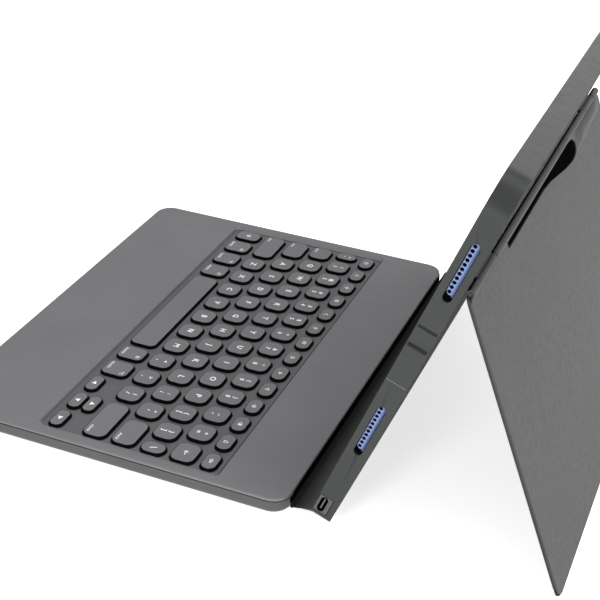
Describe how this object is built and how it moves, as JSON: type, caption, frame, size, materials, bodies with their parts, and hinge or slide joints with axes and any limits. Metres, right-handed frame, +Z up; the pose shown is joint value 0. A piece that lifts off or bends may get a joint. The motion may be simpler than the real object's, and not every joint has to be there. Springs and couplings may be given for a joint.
{
  "type": "tablet keyboard case",
  "caption": "Slim wireless keyboard joined by a folding fabric spine to a tablet tray with charging port, speaker openings and a hinged kickstand.",
  "frame": {"origin": "bottom centre of the box round the open case as it stands on a desk", "axes": "+X to the typist's right, +Y away from the typist towards the kickstand, +Z up"},
  "size_m": [0.252, 0.3234, 0.1906],
  "materials": {
    "deck": "fine matte grey, soft touch",
    "casing": "satin greenish grey",
    "keycaps": "matte grey top on black sides",
    "tray": "satin greenish grey",
    "liner": "soft fine nap",
    "grille": "pale blue anodised",
    "spine_fabric": "flexible dark weave",
    "kickstand_skin": "matte grey, fine grain",
    "kickstand_core": "black, very matte",
    "rubber": "dull black",
    "steel": "plain",
    "tongue": "black moulded",
    "board": "green solder resist",
    "battery": "foil pouch"
  },
  "bodies": {
    "keyboard": {"keyboard_base_tub": "casing", "keyboard_deck": "deck", "key_backing_plate": "steel", "key_dome_membrane": "rubber", "main_circuit_board": "board", "battery_cell_left": "battery", "battery_cell_right": "battery", "closing_magnet_left": "steel", "closing_magnet_right": "steel", "spine_anchor_rail": "spine_fabric", "front_foot_left": "rubber", "rear_foot_left": "rubber", "front_foot_right": "rubber", "rear_foot_right": "rubber", "key_well_plate": "deck"},
    "language_key": {"language_key": "keycaps"},
    "control_key": {"control_key": "keycaps"},
    "left_option_key": {"left_option_key": "keycaps"},
    "left_command_key": {"left_command_key": "keycaps"},
    "space_bar": {"space_bar": "keycaps"},
    "right_command_key": {"right_command_key": "keycaps"},
    "right_option_key": {"right_option_key": "keycaps"},
    "arrow_left_key": {"arrow_left_key": "keycaps"},
    "arrow_up_key": {"arrow_up_key": "keycaps"},
    "arrow_down_key": {"arrow_down_key": "keycaps"},
    "arrow_right_key": {"arrow_right_key": "keycaps"},
    "left_shift_key": {"left_shift_key": "keycaps"},
    "right_shift_key": {"right_shift_key": "keycaps"},
    "caps_lock_key": {"caps_lock_key": "keycaps"},
    "return_key": {"return_key": "keycaps"},
    "tab_key": {"tab_key": "keycaps"},
    "backslash_key": {"backslash_key": "keycaps"},
    "backspace_key": {"backspace_key": "keycaps"},
    "lower_letter_keys": {"lower_letter_keys": "keycaps"},
    "middle_letter_keys": {"middle_letter_keys": "keycaps"},
    "upper_letter_keys": {"upper_letter_keys": "keycaps"},
    "number_row_keys": {"number_row_keys": "keycaps"},
    "function_row_keys": {"function_row_keys": "keycaps"},
    "spine": {"spine_strip": "spine_fabric"},
    "tray": {"tray_frame": "tray", "tray_back_panel": "tray", "tablet_liner_plate": "liner", "lower_speaker_grille_right": "grille", "lower_speaker_grille_left": "grille", "upper_speaker_grille_right": "grille", "upper_speaker_grille_left": "grille", "charge_port_block": "tray", "charge_port_sleeve": "steel", "charge_port_tongue": "tongue", "hinge_bracket_left": "steel", "hinge_bracket_right": "steel"},
    "volume_down_button": {"volume_down_button": "tray"},
    "volume_up_button": {"volume_up_button": "tray"},
    "power_button": {"power_button": "tray"},
    "kickstand": {"kickstand_skin": "kickstand_skin", "kickstand_core": "kickstand_core", "kickstand_foot_strip": "rubber", "hinge_pin_left": "steel", "hinge_pin_right": "steel"}
  },
  "joints": [
    {"name": "language_key_press", "type": "slide", "parent": "keyboard", "child": "language_key", "axis": [0, 0, -1], "range_m": [0, 0.0013], "stiffness_N_per_m": 400, "springref_m": -0.0004},
    {"name": "control_key_press", "type": "slide", "parent": "keyboard", "child": "control_key", "axis": [0, 0, -1], "range_m": [0, 0.0013], "stiffness_N_per_m": 400, "springref_m": -0.0004},
    {"name": "left_option_key_press", "type": "slide", "parent": "keyboard", "child": "left_option_key", "axis": [0, 0, -1], "range_m": [0, 0.0013], "stiffness_N_per_m": 400, "springref_m": -0.0004},
    {"name": "left_command_key_press", "type": "slide", "parent": "keyboard", "child": "left_command_key", "axis": [0, 0, -1], "range_m": [0, 0.0013], "stiffness_N_per_m": 400, "springref_m": -0.0004},
    {"name": "space_bar_press", "type": "slide", "parent": "keyboard", "child": "space_bar", "axis": [0, 0, -1], "range_m": [0, 0.0013], "stiffness_N_per_m": 400, "springref_m": -0.0004},
    {"name": "right_command_key_press", "type": "slide", "parent": "keyboard", "child": "right_command_key", "axis": [0, 0, -1], "range_m": [0, 0.0013], "stiffness_N_per_m": 400, "springref_m": -0.0004},
    {"name": "right_option_key_press", "type": "slide", "parent": "keyboard", "child": "right_option_key", "axis": [0, 0, -1], "range_m": [0, 0.0013], "stiffness_N_per_m": 400, "springref_m": -0.0004},
    {"name": "arrow_left_key_press", "type": "slide", "parent": "keyboard", "child": "arrow_left_key", "axis": [0, 0, -1], "range_m": [0, 0.0013], "stiffness_N_per_m": 400, "springref_m": -0.0004},
    {"name": "arrow_up_key_press", "type": "slide", "parent": "keyboard", "child": "arrow_up_key", "axis": [0, 0, -1], "range_m": [0, 0.0013], "stiffness_N_per_m": 400, "springref_m": -0.0004},
    {"name": "arrow_down_key_press", "type": "slide", "parent": "keyboard", "child": "arrow_down_key", "axis": [0, 0, -1], "range_m": [0, 0.0013], "stiffness_N_per_m": 400, "springref_m": -0.0004},
    {"name": "arrow_right_key_press", "type": "slide", "parent": "keyboard", "child": "arrow_right_key", "axis": [0, 0, -1], "range_m": [0, 0.0013], "stiffness_N_per_m": 400, "springref_m": -0.0004},
    {"name": "left_shift_key_press", "type": "slide", "parent": "keyboard", "child": "left_shift_key", "axis": [0, 0, -1], "range_m": [0, 0.0013], "stiffness_N_per_m": 400, "springref_m": -0.0004},
    {"name": "right_shift_key_press", "type": "slide", "parent": "keyboard", "child": "right_shift_key", "axis": [0, 0, -1], "range_m": [0, 0.0013], "stiffness_N_per_m": 400, "springref_m": -0.0004},
    {"name": "caps_lock_key_press", "type": "slide", "parent": "keyboard", "child": "caps_lock_key", "axis": [0, 0, -1], "range_m": [0, 0.0013], "stiffness_N_per_m": 400, "springref_m": -0.0004},
    {"name": "return_key_press", "type": "slide", "parent": "keyboard", "child": "return_key", "axis": [0, 0, -1], "range_m": [0, 0.0013], "stiffness_N_per_m": 400, "springref_m": -0.0004},
    {"name": "tab_key_press", "type": "slide", "parent": "keyboard", "child": "tab_key", "axis": [0, 0, -1], "range_m": [0, 0.0013], "stiffness_N_per_m": 400, "springref_m": -0.0004},
    {"name": "backslash_key_press", "type": "slide", "parent": "keyboard", "child": "backslash_key", "axis": [0, 0, -1], "range_m": [0, 0.0013], "stiffness_N_per_m": 400, "springref_m": -0.0004},
    {"name": "backspace_key_press", "type": "slide", "parent": "keyboard", "child": "backspace_key", "axis": [0, 0, -1], "range_m": [0, 0.0013], "stiffness_N_per_m": 400, "springref_m": -0.0004},
    {"name": "lower_letter_press", "type": "slide", "parent": "keyboard", "child": "lower_letter_keys", "axis": [0, 0, -1], "range_m": [0, 0.0013], "stiffness_N_per_m": 4000, "springref_m": -0.0004},
    {"name": "middle_letter_press", "type": "slide", "parent": "keyboard", "child": "middle_letter_keys", "axis": [0, 0, -1], "range_m": [0, 0.0013], "stiffness_N_per_m": 4400, "springref_m": -0.0004},
    {"name": "upper_letter_press", "type": "slide", "parent": "keyboard", "child": "upper_letter_keys", "axis": [0, 0, -1], "range_m": [0, 0.0013], "stiffness_N_per_m": 4800, "springref_m": -0.0004},
    {"name": "number_row_press", "type": "slide", "parent": "keyboard", "child": "number_row_keys", "axis": [0, 0, -1], "range_m": [0, 0.0013], "stiffness_N_per_m": 5200, "springref_m": -0.0004},
    {"name": "function_row_press", "type": "slide", "parent": "keyboard", "child": "function_row_keys", "axis": [0, 0, -1], "range_m": [0, 0.0013], "stiffness_N_per_m": 5600, "springref_m": -0.0004},
    {"name": "spine_fold", "type": "hinge", "parent": "keyboard", "child": "spine", "pos_m": [0, 0.03394, 0.0064], "axis": [1, 0, 0], "range_deg": [0, 100]},
    {"name": "tray_tilt", "type": "hinge", "parent": "spine", "child": "tray", "pos_m": [0, 0.04426, 0.00797], "axis": [1, 0, 0], "range_deg": [-65, 10.6]},
    {"name": "volume_down_button_press", "type": "slide", "parent": "tray", "child": "volume_down_button", "axis": [0, -0.3518, -0.9361], "range_m": [0, 0.0005], "stiffness_N_per_m": 900, "springref_m": -0.0003},
    {"name": "volume_up_button_press", "type": "slide", "parent": "tray", "child": "volume_up_button", "axis": [0, -0.3518, -0.9361], "range_m": [0, 0.0005], "stiffness_N_per_m": 900, "springref_m": -0.0003},
    {"name": "power_button_press", "type": "slide", "parent": "tray", "child": "power_button", "axis": [1, 0, 0], "range_m": [0, 0.0005], "stiffness_N_per_m": 900, "springref_m": -0.0003},
    {"name": "kickstand_swing", "type": "hinge", "parent": "tray", "child": "kickstand", "pos_m": [0, 0.10612, 0.13844], "axis": [1, 0, 0], "range_deg": [-42.4, 92.5]}
  ]
}
